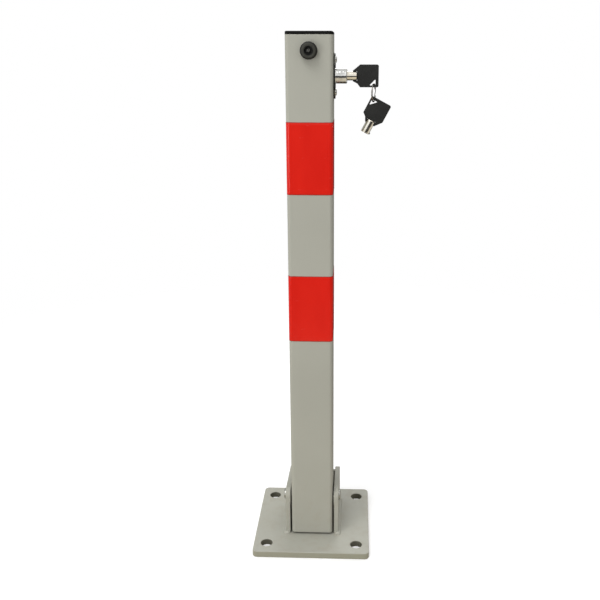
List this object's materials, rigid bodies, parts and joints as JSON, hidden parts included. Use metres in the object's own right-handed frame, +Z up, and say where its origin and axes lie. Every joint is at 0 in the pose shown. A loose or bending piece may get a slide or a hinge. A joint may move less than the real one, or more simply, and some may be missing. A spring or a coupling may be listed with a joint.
{
  "type": "folding parking post",
  "caption": "Fold-down parking post: red-banded grey square tube hinged between two ears on a bolted base plate, with a side key lock that works a latch rod, and a spare key on a ring.",
  "frame": {"origin": "centre of the base plate's underside, midway between the four anchor holes", "axes": "+Z up along the upright post, +X towards the side that carries the lock, -Y towards the front, which is the side the post folds to"},
  "size_m": [0.1567, 0.14, 0.6045],
  "materials": {
    "grey_paint": "satin warm grey powder coat",
    "red_tape": "glossy red tape",
    "black_plastic": "fine-grained moulded black plastic",
    "black_rubber": "smooth dark rubber",
    "chrome": "bright plated",
    "nickel": "nickel plated, slightly worn to brass",
    "zinc_steel": "zinc plated"
  },
  "bodies": {
    "base": {"base_plate": "grey_paint", "left_ear": "grey_paint", "right_ear": "grey_paint", "back_web": "grey_paint", "weld_beads": "grey_paint", "pivot_pin": "zinc_steel", "hinge_washers": "black_plastic"},
    "post": {"post_tube": "grey_paint", "upper_red_band": "red_tape", "lower_red_band": "red_tape", "top_cap": "black_plastic", "buffer": "black_rubber", "buffer_washer": "black_plastic", "buffer_screw": "zinc_steel", "buffer_nut": "zinc_steel", "escutcheon": "chrome", "escutcheon_screws": "chrome", "lock_body": "chrome", "lock_nut": "zinc_steel", "bottom_guide": "zinc_steel", "spring_guide": "zinc_steel", "upper_guide": "zinc_steel", "pivot_bush": "zinc_steel", "return_spring": "zinc_steel"},
    "latch": {"pull_rod": "zinc_steel", "yoke": "zinc_steel", "rod_collar": "zinc_steel", "latch_bolt": "zinc_steel", "bolt_cross_pin": "zinc_steel"},
    "key": {"lock_plug": "chrome", "lock_cam": "zinc_steel", "cam_pin": "zinc_steel", "cam_screw": "zinc_steel", "key_one_shank": "nickel", "key_one_head": "black_plastic"},
    "ring": {"key_ring": "nickel"},
    "spare_key": {"key_two_shank": "nickel", "key_two_head": "black_plastic"}
  },
  "joints": [
    {"name": "post_fold", "type": "hinge", "parent": "base", "child": "post", "pos_m": [0, -0.0215, 0.057], "axis": [1, 0, 0], "range_deg": [0, 93.8]},
    {"name": "key_turn", "type": "hinge", "parent": "post", "child": "key", "pos_m": [0.0395, -0.009, 0.559], "axis": [1, 0, 0], "range_deg": [-90, 0]},
    {"name": "rod_slide", "type": "slide", "parent": "post", "child": "latch", "axis": [0, 0, 1], "range_m": [-0.01414, 0], "deforming": ["return_spring"]},
    {"name": "ring_swing", "type": "hinge", "parent": "key", "child": "ring", "pos_m": [0.068, -0.009, 0.55065], "axis": [0, 1, 0], "range_deg": [-35, 15]},
    {"name": "spare_key_swing", "type": "hinge", "parent": "ring", "child": "spare_key", "pos_m": [0.068, -0.009, 0.53215], "axis": [0, 1, 0], "range_deg": [-40, 20]}
  ],
  "couplings": [
    {"joint": "key_turn", "follows": "rod_slide", "rad_per_m": 111.07}
  ]
}
